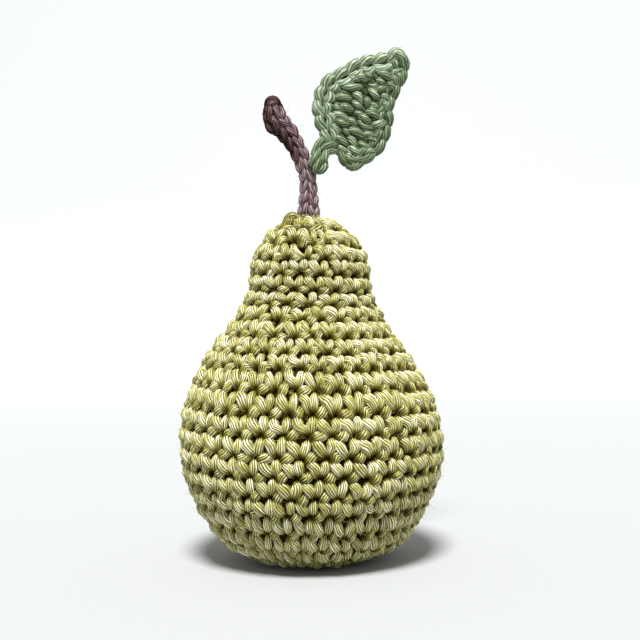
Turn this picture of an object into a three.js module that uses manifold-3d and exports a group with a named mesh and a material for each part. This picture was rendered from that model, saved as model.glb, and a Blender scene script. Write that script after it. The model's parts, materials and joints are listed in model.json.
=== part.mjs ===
// A crocheted pear: a stuffed cotton cover worked as one spiral of single crochet, with a
// crocheted stem set into its crown and a crocheted leaf on a chain stalk.
// Millimetres, +Z up. The origin is the middle of the flat spot that the pear rests on.
// Seen along +Y, the top of the stem curves towards -X and the leaf points to +X.
import * as THREE from 'three';
import { mergeVertices } from 'three/addons/utils/BufferGeometryUtils.js';
import Module from 'manifold-3d';

const wasm = await Module();
wasm.setup();

// Clearance between pieces that touch
const touchGap = 0.3;

// Cover: the stitches of each round from the base up, and the radius and height where it ends
const rounds = [
  { stitches: 6, radius: 4.5, height: 0 },
  { stitches: 12, radius: 9, height: 0 },
  { stitches: 18, radius: 13.7, height: 0.3 },
  { stitches: 24, radius: 18.5, height: 1.9 },
  { stitches: 30, radius: 24.2, height: 5.4 },
  { stitches: 36, radius: 27.4, height: 9.9 },
  { stitches: 36, radius: 30.2, height: 14.9 },
  { stitches: 36, radius: 32.3, height: 19.5 },
  { stitches: 36, radius: 33.4, height: 24.7 },
  { stitches: 36, radius: 33.7, height: 29.5 },
  { stitches: 36, radius: 33.5, height: 34.7 },
  { stitches: 36, radius: 32.3, height: 39.8 },
  { stitches: 36, radius: 30.2, height: 45.4 },
  { stitches: 36, radius: 27.5, height: 50.2 },
  { stitches: 30, radius: 25.1, height: 54.2 },
  { stitches: 30, radius: 22.1, height: 58 },
  { stitches: 24, radius: 19.5, height: 61.8 },
  { stitches: 18, radius: 17.4, height: 65.4 },
  { stitches: 18, radius: 16.4, height: 68.8 },
  { stitches: 18, radius: 15.8, height: 72.7 },
  { stitches: 18, radius: 15.2, height: 76.7 },
  { stitches: 18, radius: 13, height: 81 },
  { stitches: 12, radius: 9.3, height: 85 },
  { stitches: 6, radius: 3.6, height: 88.2 },
];
const fabricThickness = 3.4;
// How far a stitch leans to the right of the one below it, in stitch widths
const stitchDrift = 0.2;
// One stitch: each column's place to the left of the point of its V, in stitch widths, and its
// depth. The groove below the stitch holds the point, and the ridge across its middle both legs.
const grooveColumns = [
  { shift: -0.1, depth: 1.2 },
  { shift: 0, depth: 2.4 },
  { shift: 0.12, depth: 1.2 },
  { shift: 0.55, depth: 1.7 },
];
const ridgeColumns = [
  { shift: -0.08, depth: 0 },
  { shift: 0.14, depth: 0.9 },
  { shift: 0.38, depth: 0 },
  { shift: 0.66, depth: 1.2 },
];
const ridgeRise = 0.55;
const rimSteps = 12;
const insideSides = 24;

// Stem: points along its middle, and its radius there
const stemLine = [
  { x: 0, z: 78, radius: 2.9 },
  { x: 0, z: 88, radius: 2.9 },
  { x: 0, z: 97, radius: 2.9 },
  { x: -0.9, z: 101, radius: 2.3 },
  { x: -2.5, z: 105, radius: 2.3 },
  { x: -4.8, z: 109, radius: 2.4 },
  { x: -7.6, z: 112.4, radius: 3 },
  { x: -8.7, z: 115.2, radius: 3.1 },
  { x: -8.6, z: 118.2, radius: 2.5 },
  { x: -8.5, z: 119.5, radius: 1.2 },
];
const stemStitch = { length: 3, columns: 4, depth: 0.8, lean: 0.5 };
// Hole in the crown round the stem, and how far its inner edge drops below the fabric beside it
const crownHole = stemLine[0].radius + touchGap;
const crownLip = 0.6;

// Leaf: its outline from the tip loop, down the outer edge and back up beside the stem
const leafOutline = [
  [23.6, 131],
  [26.7, 127.6],
  [24.8, 122],
  [22.6, 116.4],
  [22, 112],
  [19.8, 106.1],
  [15.4, 101.8],
  [10.9, 99.4],
  [8.7, 102.2],
  [6.7, 107.2],
  [3.4, 110.6],
  [1.7, 115.7],
  [3.4, 120.9],
  [7.6, 124.6],
  [13.3, 128.1],
  [19.2, 128.8],
];
const leafMiddle = { x: 13.3, y: -1, z: 115.5 };
const leafEdgeStitches = 24;
const leafScallop = 0.6;
// Rings from the edge to the middle: share of the way in, half the thickness there, and stitches
const leafRings = [
  { inset: 0.04, half: 1, stitches: 24 },
  { inset: 0.14, half: 1.8, stitches: 24 },
  { inset: 0.27, half: 0.9, stitches: 24 },
  { inset: 0.46, half: 1.6, stitches: 12 },
  { inset: 0.72, half: 1.1, stitches: 6 },
];
const leafMiddleHalf = 1;
const leafStitchDepth = 0.7;
const stalkLine = [
  { x: 9.5, y: -1, z: 105.6, radius: 1.2 },
  { x: 5.9, y: -1.4, z: 106, radius: 1.5 },
  { x: 3.9, y: -2.6, z: 105.2, radius: 1.6 },
  { x: 2.9, y: -3.2, z: 103, radius: 1.8 },
  { x: 2.8, y: -3.4, z: 100.4, radius: 1.8 },
  { x: 2.8, y: -3.3, z: 98.8, radius: 1.4 },
];
const stalkStitch = { length: 3, columns: 2, depth: 0.7, lean: 0.5 };

const fullTurn = 2 * Math.PI;

function closedGeometry(vertices, triangles) {
  const geometry = new THREE.BufferGeometry();
  geometry.setAttribute('position', new THREE.Float32BufferAttribute(vertices.flat(), 3));
  geometry.setIndex(triangles.flat());
  return geometry;
}

function toManifold(geometry) {
  const bare = geometry.clone();
  bare.deleteAttribute('normal');
  bare.deleteAttribute('uv');
  const merged = mergeVertices(bare);
  return new wasm.Manifold(new wasm.Mesh({
    numProp: 3,
    vertProperties: merged.attributes.position.array,
    triVerts: new Uint32Array(merged.index.array),
  }));
}

function fromManifold(solid) {
  const mesh = solid.getMesh();
  const geometry = new THREE.BufferGeometry();
  geometry.setAttribute('position', new THREE.BufferAttribute(mesh.vertProperties, 3));
  geometry.setIndex(new THREE.BufferAttribute(mesh.triVerts, 1));
  return geometry;
}

function named(name, geometry, color) {
  const material = new THREE.MeshStandardMaterial({ color, roughness: 0.75, metalness: 0 });
  const mesh = new THREE.Mesh(geometry, material);
  mesh.name = name;
  return mesh;
}

// The outside of the cover, counted in rounds from the middle of the base
const profile = new THREE.SplineCurve([
  new THREE.Vector2(0, 0),
  ...rounds.map((round) => new THREE.Vector2(round.radius, round.height)),
]);

function profileAt(round, depth) {
  const t = Math.min(round, rounds.length) / rounds.length;
  const along = profile.getTangent(t);
  return profile.getPoint(t).add(new THREE.Vector2(-along.y, along.x).multiplyScalar(depth));
}

// A point on the spiral: turn counts whole turns to the left from the front of the base.
// The relief fades in the first round, which is a flat spot to rest on, and in the last.
function spiralPoint(turn, round, depth) {
  const fromBase = THREE.MathUtils.smoothstep(round, 1, 2);
  const fromCrown = THREE.MathUtils.smoothstep(rounds.length - round, 0, 1);
  const at = profileAt(round, depth * fromBase * fromCrown);
  const angle = -fullTurn * (turn + 0.25);
  return [at.x * Math.cos(angle), at.x * Math.sin(angle), at.y];
}

// The cover's stitched outside: a groove line and a ridge line run up the spiral side by side,
// and each ridge is joined to its own groove below it and to the groove one turn above it.
function coverOutside() {
  const vertices = [];
  const triangles = [];
  const groove = [];
  const ridge = [];
  const lastTurn = rounds.length;
  const addPoint = (line, turn, round, depth) => {
    line.push({ turn, index: vertices.length });
    vertices.push(spiralPoint(turn, round, depth));
  };
  let start = 0;
  while (start < lastTurn) {
    const width = 1 / (rounds[Math.floor(start)].stitches + stitchDrift);
    for (let column = 0; column < grooveColumns.length; column++) {
      const low = grooveColumns[column];
      const high = ridgeColumns[column];
      const lowTurn = Math.max(start + low.shift * width, 0);
      const highTurn = Math.max(start + high.shift * width, 0);
      const rowTop = Math.min(highTurn + 1, lastTurn);
      if (lowTurn < lastTurn && highTurn < lastTurn) {
        addPoint(groove, lowTurn, lowTurn, low.depth);
        addPoint(ridge, highTurn, highTurn + ridgeRise * (rowTop - highTurn), high.depth);
      }
    }
    start += width;
  }
  // The two lines meet where the last round ends, and one more turn closes the crown
  addPoint(groove, lastTurn, lastTurn, 0);
  const rim = groove[groove.length - 1];
  for (let step = 1; step < rimSteps; step++) {
    addPoint(groove, lastTurn + step / rimSteps, lastTurn, 0);
  }
  groove.push({ turn: lastTurn + 1, index: rim.index });
  ridge.push(rim);

  const addTriangle = (a, b, c) => {
    if (a !== b && b !== c && c !== a) {
      triangles.push([a, c, b]);
    }
  };
  for (let i = 0; i + 1 < ridge.length; i++) {
    addTriangle(groove[i].index, groove[i + 1].index, ridge[i].index);
    addTriangle(groove[i + 1].index, ridge[i + 1].index, ridge[i].index);
  }
  let above = groove.findIndex((point) => point.turn >= 1);
  const firstAbove = above;
  let below = 0;
  while (below + 1 < ridge.length || above + 1 < groove.length) {
    const nextBelow = below + 1 < ridge.length ? ridge[below + 1].turn : Infinity;
    const nextAbove = above + 1 < groove.length ? groove[above + 1].turn - 1 : Infinity;
    if (nextBelow <= nextAbove) {
      addTriangle(ridge[below].index, ridge[below + 1].index, groove[above].index);
      below += 1;
    } else {
      addTriangle(ridge[below].index, groove[above + 1].index, groove[above].index);
      above += 1;
    }
  }

  // The base closes on its middle, and the crown on a point above the hole for the stem
  const middle = vertices.length;
  vertices.push([0, 0, 0]);
  for (let i = 0; i < firstAbove; i++) {
    addTriangle(middle, groove[i + 1].index, groove[i].index);
  }
  addTriangle(middle, ridge[0].index, groove[firstAbove].index);
  addTriangle(middle, groove[0].index, ridge[0].index);
  const crown = vertices.length;
  vertices.push([0, 0, rounds[lastTurn - 1].height]);
  const rimStart = groove.indexOf(rim);
  for (let i = rimStart; i + 1 < groove.length; i++) {
    addTriangle(groove[i].index, groove[i + 1].index, crown);
  }
  return closedGeometry(vertices, triangles);
}

// Outline of the cover's hollow, or of the stuffing in it, at a depth below the profile
function insideOutline(depth) {
  const outline = [new THREE.Vector2(0, depth)];
  for (let round = 2; round < rounds.length; round++) {
    outline.push(profileAt(round, depth));
  }
  outline.push(new THREE.Vector2(crownHole, profileAt(rounds.length, depth).y - crownLip));
  return outline;
}

function turned(outline) {
  return new THREE.LatheGeometry(outline, insideSides).rotateX(Math.PI / 2);
}

function coverSolid() {
  const outline = insideOutline(fabricThickness);
  const aboveCrown = rounds[rounds.length - 1].height + fabricThickness;
  outline.push(new THREE.Vector2(crownHole, aboveCrown), new THREE.Vector2(0, aboveCrown));
  const hollow = turned(outline);
  return fromManifold(toManifold(coverOutside()).subtract(toManifold(hollow)));
}

function stuffingSolid() {
  const outline = insideOutline(fabricThickness + touchGap);
  const pocketFloor = stemLine[0].z - touchGap;
  outline.push(new THREE.Vector2(crownHole, pocketFloor), new THREE.Vector2(0, pocketFloor));
  return turned(outline);
}

// A crocheted cord along a line of points: columns of V stitches run along it as relief
function stitchedCord(line, stitch, sides, step) {
  const curve = new THREE.CatmullRomCurve3(line.map((p) => new THREE.Vector3(p.x, p.y ?? 0, p.z)));
  const radii = new THREE.SplineCurve(line.map((p, i) => new THREE.Vector2(i, p.radius)));
  const count = Math.round(curve.getLength() / step);
  const vertices = [];
  const triangles = [];
  for (let i = 0; i <= count; i++) {
    const t = curve.getUtoTmapping(i / count);
    const centre = curve.getPoint(t);
    const along = curve.getTangent(t);
    const across = new THREE.Vector3(0, 1, 0).cross(along).normalize();
    const front = new THREE.Vector3().crossVectors(along, across);
    for (let side = 0; side < sides; side++) {
      const turn = side / sides;
      const inColumn = (turn * stitch.columns) % 1;
      const row = (i * step) / stitch.length + stitch.lean * Math.abs(2 * inColumn - 1);
      const bulge = Math.sin(Math.PI * inColumn) * (0.5 + 0.5 * Math.cos(fullTurn * row));
      const radius = radii.getPoint(t).y - stitch.depth * (1 - bulge);
      const offset = across.clone().multiplyScalar(radius * Math.cos(fullTurn * turn));
      offset.addScaledVector(front, radius * Math.sin(fullTurn * turn));
      vertices.push(centre.clone().add(offset).toArray());
    }
  }
  for (let i = 0; i < count; i++) {
    for (let side = 0; side < sides; side++) {
      const a = i * sides + side;
      const b = i * sides + ((side + 1) % sides);
      triangles.push([a, b, a + sides], [b, b + sides, a + sides]);
    }
  }
  const ends = [
    { centre: curve.getPoint(0), ring: 0, turned: false },
    { centre: curve.getPoint(1), ring: count * sides, turned: true },
  ];
  for (const end of ends) {
    const middle = vertices.length;
    vertices.push(end.centre.toArray());
    for (let side = 0; side < sides; side++) {
      const a = end.ring + side;
      const b = end.ring + ((side + 1) % sides);
      triangles.push(end.turned ? [middle, a, b] : [middle, b, a]);
    }
  }
  return closedGeometry(vertices, triangles);
}

// The leaf's blade: rings of stitches inside a chain edge, alike on both faces
function leafBlade() {
  const outline = new THREE.CatmullRomCurve3(
    leafOutline.map(([x, z]) => new THREE.Vector3(x, leafMiddle.y, z)), true);
  const middle = new THREE.Vector3(leafMiddle.x, leafMiddle.y, leafMiddle.z);
  const columns = 4;
  const count = leafEdgeStitches * columns;
  const vertices = [];
  const triangles = [];
  for (let i = 0; i < count; i++) {
    const edge = outline.getPointAt(i / count);
    const inward = middle.clone().sub(edge).normalize();
    edge.addScaledVector(inward, leafScallop * (1 + Math.cos((fullTurn * i) / columns)) / 2);
    vertices.push(edge.toArray());
  }
  for (const face of [-1, 1]) {
    for (let ring = 0; ring < leafRings.length; ring++) {
      const { inset, half, stitches } = leafRings[ring];
      for (let i = 0; i < count; i++) {
        // Each ring of stitches lies half a stitch on from the last
        const dip = (1 + Math.cos(fullTurn * ((i / count) * stitches + ring / 2))) / 2;
        const edge = new THREE.Vector3().fromArray(vertices[i]);
        const at = edge.lerp(middle, inset);
        at.y += face * (half - leafStitchDepth * dip);
        vertices.push(at.toArray());
      }
    }
    const firstRing = face < 0 ? count : count * (1 + leafRings.length);
    const centre = vertices.length;
    vertices.push([middle.x, middle.y + face * leafMiddleHalf, middle.z]);
    const add = (a, b, c) => triangles.push(face < 0 ? [a, c, b] : [a, b, c]);
    for (let i = 0; i < count; i++) {
      const next = (i + 1) % count;
      add(i, next, firstRing + i);
      add(next, firstRing + next, firstRing + i);
      for (let ring = 0; ring + 1 < leafRings.length; ring++) {
        const low = firstRing + ring * count;
        const high = low + count;
        add(low + i, low + next, high + i);
        add(low + next, high + next, high + i);
      }
      const lastRing = firstRing + (leafRings.length - 1) * count;
      add(lastRing + i, lastRing + next, centre);
    }
  }
  return closedGeometry(vertices, triangles);
}

function leafSolid() {
  const stalk = stitchedCord(stalkLine, stalkStitch, 10, 1);
  return fromManifold(toManifold(leafBlade()).add(toManifold(stalk)));
}

const pear = new THREE.Group();
pear.add(
  named('cover', coverSolid(), 0xa8ac62),
  named('stuffing', stuffingSolid(), 0xb9b9ae),
  named('stem', stitchedCord(stemLine, stemStitch, 16, 1), 0x7d6870),
  named('leaf', leafSolid(), 0x7e9a78),
);

export default pear;
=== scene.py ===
import json
import math
import random

import bmesh
import bpy
import numpy as np
from mathutils import Matrix, Vector

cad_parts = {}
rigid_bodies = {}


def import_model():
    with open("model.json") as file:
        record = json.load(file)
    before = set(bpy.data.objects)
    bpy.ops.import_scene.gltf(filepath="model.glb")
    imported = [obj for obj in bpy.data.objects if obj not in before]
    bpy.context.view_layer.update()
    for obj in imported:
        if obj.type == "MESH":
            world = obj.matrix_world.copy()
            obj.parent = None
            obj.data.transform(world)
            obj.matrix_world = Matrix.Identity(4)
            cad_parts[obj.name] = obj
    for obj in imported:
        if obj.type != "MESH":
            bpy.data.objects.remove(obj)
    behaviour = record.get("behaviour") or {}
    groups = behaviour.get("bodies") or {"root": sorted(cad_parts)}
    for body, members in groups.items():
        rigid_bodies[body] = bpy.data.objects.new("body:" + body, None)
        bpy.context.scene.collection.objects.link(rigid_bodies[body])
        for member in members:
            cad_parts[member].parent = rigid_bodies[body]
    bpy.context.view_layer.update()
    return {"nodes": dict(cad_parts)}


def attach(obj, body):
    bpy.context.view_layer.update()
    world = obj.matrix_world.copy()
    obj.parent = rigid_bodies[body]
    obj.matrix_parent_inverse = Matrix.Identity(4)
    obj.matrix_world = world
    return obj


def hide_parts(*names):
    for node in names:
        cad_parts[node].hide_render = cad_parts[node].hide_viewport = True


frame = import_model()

# A crocheted pear in cotton yarn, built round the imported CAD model.
# Sizes are in millimetres here and are turned to metres when a mesh is finished.
mm = 0.001
weld = 0.001  # points closer than this are made one
scene = bpy.context.scene
collection = scene.collection
scene.view_settings.view_transform = "Standard"

# Camera: in front of the pear, level with its shoulder
cameraSetup = {
    "lens": 63.4,
    "sensor": 36,
    "place": (2.4, -290, 62.5),
    "pitch": -0.25,  # degrees
    "roll": -1.07,
}


def makeCamera(setup):
    data = bpy.data.cameras.new("camera")
    data.lens = setup["lens"]
    data.sensor_width = setup["sensor"]
    camera = bpy.data.objects.new("camera", data)
    collection.objects.link(camera)
    tilt = Matrix.Rotation(math.radians(90 + setup["pitch"]), 4, "X")
    roll = Matrix.Rotation(math.radians(setup["roll"]), 4, "Z")
    camera.matrix_world = Matrix.Translation(Vector(setup["place"]) * mm) @ tilt @ roll
    return camera


scene.camera = makeCamera(cameraSetup)
print("camera placed")


def linear(hexColour):
    parts = [int(hexColour[i:i + 2], 16) / 255 for i in (1, 3, 5)]
    return [*(c / 12.92 if c <= 0.04045 else ((c + 0.055) / 1.055) ** 2.4 for c in parts), 1]


# Adds one node: settings are its properties, inputs its sockets' values or the sockets that feed them
def addNode(material, kind, settings=None, inputs=None):
    tree = material.node_tree
    node = tree.nodes.new("ShaderNode" + kind)
    for key, value in (settings or {}).items():
        setattr(node, key, value)
    for key, value in (inputs or {}).items():
        if isinstance(value, bpy.types.NodeSocket):
            tree.links.new(value, node.inputs[key])
        else:
            node.inputs[key].default_value = value
    return node


def newMaterial(name):
    material = bpy.data.materials.new(name)
    material.use_nodes = True
    material.node_tree.nodes.clear()
    return material


def finishMaterial(material, shader):
    output = addNode(material, "OutputMaterial")
    material.node_tree.links.new(shader.outputs[0], output.inputs["Surface"])
    return material


def finishPiece(name, mesh, material):
    mesh.transform(Matrix.Scale(mm, 4))
    mesh.name = name
    mesh.materials.clear()
    mesh.materials.append(material)
    mesh.polygons.foreach_set("use_smooth", [True] * len(mesh.polygons))
    piece = bpy.data.objects.new(name, mesh)
    collection.objects.link(piece)
    return piece


# A line of (x, z) points turned once round the middle
def turnedMesh(name, line, steps):
    shape = bmesh.new()
    verts = [shape.verts.new((x, 0, z)) for x, z in line]
    edges = [shape.edges.new(pair) for pair in zip(verts, verts[1:])]
    bmesh.ops.spin(shape, geom=verts + edges, cent=(0, 0, 0), axis=(0, 0, 1), angle=math.tau,
                   steps=steps, use_merge=True)
    bmesh.ops.remove_doubles(shape, verts=shape.verts, dist=weld)
    bmesh.ops.recalc_face_normals(shape, faces=shape.faces)
    mesh = bpy.data.meshes.new(name)
    shape.to_mesh(mesh)
    shape.free()
    return mesh


# Backdrop: a white sweep, flat under the pear and rising all round it
backdrop = {
    "flat": 420,  # radius of its floor
    "bend": 420,  # radius of the bend up from there
    "bendSteps": 8,
    "slope": 55,  # degrees, at the end of the bend
    "height": 700,
    "steps": 96,  # all round
    "colour": "#aeb0b0",
}


def makeBackdrop(setup):
    flat, bend, height = setup["flat"], setup["bend"], setup["height"]
    slope = math.radians(setup["slope"])
    line = [(0, 0), (flat / 2, 0), (flat, 0)]
    for step in range(1, setup["bendSteps"] + 1):
        angle = slope * step / setup["bendSteps"]
        line.append((flat + bend * math.sin(angle), bend * (1 - math.cos(angle))))
    reach, top = line[-1]
    line.append((reach + (height - top) / math.tan(slope), height))
    mesh = turnedMesh("backdrop", line, setup["steps"])
    mesh.flip_normals()  # its upper side is the one that shows
    # Matt white paper: an even pale ground with no gloss
    paper = newMaterial("white_paper")
    shader = addNode(paper, "BsdfPrincipled", None, {
        "Base Color": linear(setup["colour"]), "Roughness": 0.9, "Specular IOR Level": 0.1})
    piece = finishPiece("backdrop", mesh, finishMaterial(paper, shader))


makeBackdrop(backdrop)

# Lights: a white sky, and soft daylight from high in front
lights = {
    "sky": 0.43,
    "sun": 6.1,
    "spread": 16,  # degrees
    "place": (-30, -430, 800),
    "aim": (0, 0, 60),
}


def makeLights(setup):
    world = bpy.data.worlds.new("sky")
    scene.world = world
    world.use_nodes = True
    sky = world.node_tree.nodes["Background"]
    sky.inputs["Color"].default_value = (1, 1, 1, 1)
    sky.inputs["Strength"].default_value = setup["sky"]
    data = bpy.data.lights.new("daylight", "SUN")
    data.angle = math.radians(setup["spread"])
    data.energy = setup["sun"]
    lamp = bpy.data.objects.new("daylight", data)
    collection.objects.link(lamp)
    lamp.location = Vector(setup["place"]) * mm
    towards = Vector(setup["aim"]) - Vector(setup["place"])
    lamp.rotation_euler = towards.to_track_quat("-Z", "Y").to_euler()


makeLights(lights)
print("backdrop and lights ready")

# How uneven a yarn's plies are: how far creases and ridges stray round it, as a share of the way
# to the next, and how deep and how high they are
plyUneven = {"place": 0.25, "crease": (0.4, 1.4), "ridge": (0.94, 1.06)}
plyTurn = 40  # degrees, the most that a lobe's plies are turned where it starts


# A yarn's section, with a crease between every two plies, as a bevel shape for curves
def yarnSection(name, setup):
    data = bpy.data.curves.new(name, "CURVE")
    line = data.splines.new("POLY")
    count = setup["plies"] * 2
    line.points.add(count - 1)
    draw = random.Random(setup["plies"])
    for i in range(count):
        angle = math.tau * (i + draw.uniform(-plyUneven["place"], plyUneven["place"])) / count
        if i % 2 == 0:
            reach = 1 - setup["crease"] * draw.uniform(*plyUneven["crease"])
        else:
            reach = draw.uniform(*plyUneven["ridge"])
        across, out = setup["yarnWidth"] * reach, setup["yarnDepth"] * reach
        line.points[i].co = (across * math.cos(angle), out * math.sin(angle), 0, 1)
    line.use_cyclic_u = True
    section = bpy.data.objects.new(name, data)
    collection.objects.link(section)
    return section


# The mesh of a curve with its thickness, in place of the curve
def curveToMesh(data):
    piece = bpy.data.objects.new(data.name, data)
    collection.objects.link(piece)
    bpy.context.view_layer.update()
    shown = piece.evaluated_get(bpy.context.evaluated_depsgraph_get())
    mesh = bpy.data.meshes.new_from_object(shown)
    bpy.data.objects.remove(piece)
    return mesh


# Lobes of yarn: each is a line of (x, y, z, thickness), and the twist of its plies from end to end
# and their turn where it starts, in degrees
def yarnMesh(name, lobes, section, plies):
    data = bpy.data.curves.new(name, "CURVE")
    data.dimensions = "3D"
    data.twist_mode = "Z_UP"
    data.bevel_mode = "OBJECT"
    data.bevel_object = section
    data.use_fill_caps = True
    data.resolution_u = 2
    for lobe in lobes:
        line = data.splines.new("BEZIER")
        points = lobe["points"]
        line.bezier_points.add(len(points) - 1)
        for i, (x, y, z, thickness) in enumerate(points):
            point = line.bezier_points[i]
            point.co = (x, y, z)
            point.handle_left_type = point.handle_right_type = "AUTO"
            point.radius = thickness
            point.tilt = math.radians(lobe["twist"] * i / (len(points) - 1) + lobe.get("start", 0))
    mesh = curveToMesh(data)
    shape = bmesh.new()
    shape.from_mesh(mesh)
    bmesh.ops.remove_doubles(shape, verts=shape.verts, dist=weld)
    bmesh.ops.recalc_face_normals(shape, faces=shape.faces)
    # the creases between plies stay sharp, so that each ply shades as its own round strand
    layer = shape.loops.layers.uv.active
    near = 0.05  # of a ply
    for edge in shape.edges:
        loops = [loop for loop in edge.link_loops[0].face.loops if loop.vert in edge.verts]
        places = [loop[layer].uv[1] * plies for loop in loops]
        edge.smooth = not all(abs(place - round(place)) < near for place in places)
    shape.to_mesh(mesh)
    shape.free()
    return mesh


def meshPoints(mesh):
    points = np.zeros(len(mesh.vertices) * 3)
    mesh.vertices.foreach_get("co", points)
    return points.reshape(-1, 3)


def setPoints(mesh, points):
    mesh.vertices.foreach_set("co", points.astype(np.float32).ravel())
    mesh.update()


def setAttribute(mesh, name, values):
    attribute = mesh.attributes.new(name, "FLOAT", "POINT")
    attribute.data.foreach_set("value", np.asarray(values, np.float32))


# Joins lobes of yarn. Each is a mesh, its points in their place, a tone of its own, and its
# painted light: 0, full painted shade, where it dives under, 1 outside
def joinLobes(name, lobes):
    shape = bmesh.new()
    for mesh, _, _, _ in lobes:
        shape.from_mesh(mesh)
    joined = bpy.data.meshes.new(name)
    shape.to_mesh(joined)
    shape.free()
    setPoints(joined, np.concatenate([points for _, points, _, _ in lobes]))
    for key, column in (("yarnTone", 2), ("paintedLight", 3)):
        values = [np.full(len(lobe[1]), lobe[column]) for lobe in lobes]
        setAttribute(joined, key, np.concatenate(values))
    return joined


# Points along a smooth line through the given ones, from share 0 to 1, and the directions there
def smoothLine(knots, share):
    knots = np.array(knots, float)
    last = len(knots) - 1
    place = np.clip(share, 0, 1) * last
    first = np.minimum(place.astype(int), last - 1)
    part = (place - first)[:, None]
    a, b = knots[np.maximum(first - 1, 0)], knots[first]
    c, d = knots[first + 1], knots[np.minimum(first + 2, last)]
    v0, v1 = (c - a) / 2, (d - b) / 2
    cubic = 2 * b - 2 * c + v0 + v1
    square = 3 * c - 3 * b - 2 * v0 - v1
    point = cubic * part ** 3 + square * part ** 2 + v0 * part + b
    along = 3 * cubic * part ** 2 + 2 * square * part + v0
    return point, along


def unit(vectors):
    return vectors / np.linalg.norm(vectors, axis=1)[:, None]


# The same by length along the line in millimetres, and the line's whole length; past its ends it
# goes straight on
def measuredLine(knots):
    samples = 400
    share = np.linspace(0, 1, samples)
    point, _ = smoothLine(knots, share)
    steps = np.linalg.norm(np.diff(point, axis=0), axis=1)
    lengths = np.concatenate([[0], np.cumsum(steps)])

    def at(length):
        inside = np.clip(length, 0, lengths[-1])
        place, along = smoothLine(knots, np.interp(inside, lengths, share))
        along = unit(along)
        return place + along * (length - inside)[:, None], along
    return at, lengths[-1]


# How cotton yarn is shaded
yarnLook = {
    # patterns, in millimetres: a lobe's usual length, and what is measured on it
    "lobe": 6,
    "streakLength": 2,
    "fuzzPatch": 1.33,  # a patch where the yarn is fluffy
    "fibreHeight": 0.12,
    "seedSpread": 40,  # sets the patterns of lobes of different tones apart
    # what the shade is made of, from 0, dark, to 1, light; part of it is painted light and shade
    # painted shade and highlight: plies are painted lighter above this share and darker below it
    "ridgeMiddle": 0.64,  # plies are lighter above this share of their height, and darker below it
    "fibre": 0.72,
    "tone": 0.03,
    # share of the painted light and shade
    "light": 0.46,
    "level": -0.04,
    "stops": (0.34, 0.55, 0.7, 0.84, 0.98),  # where each of a yarn's colours stands
    # painted shade: under this share of painted light the yarn takes its painted shade colour
    "paintedDeepShade": 0.4,  # share of light under which the colour of the depths comes in
}
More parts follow.
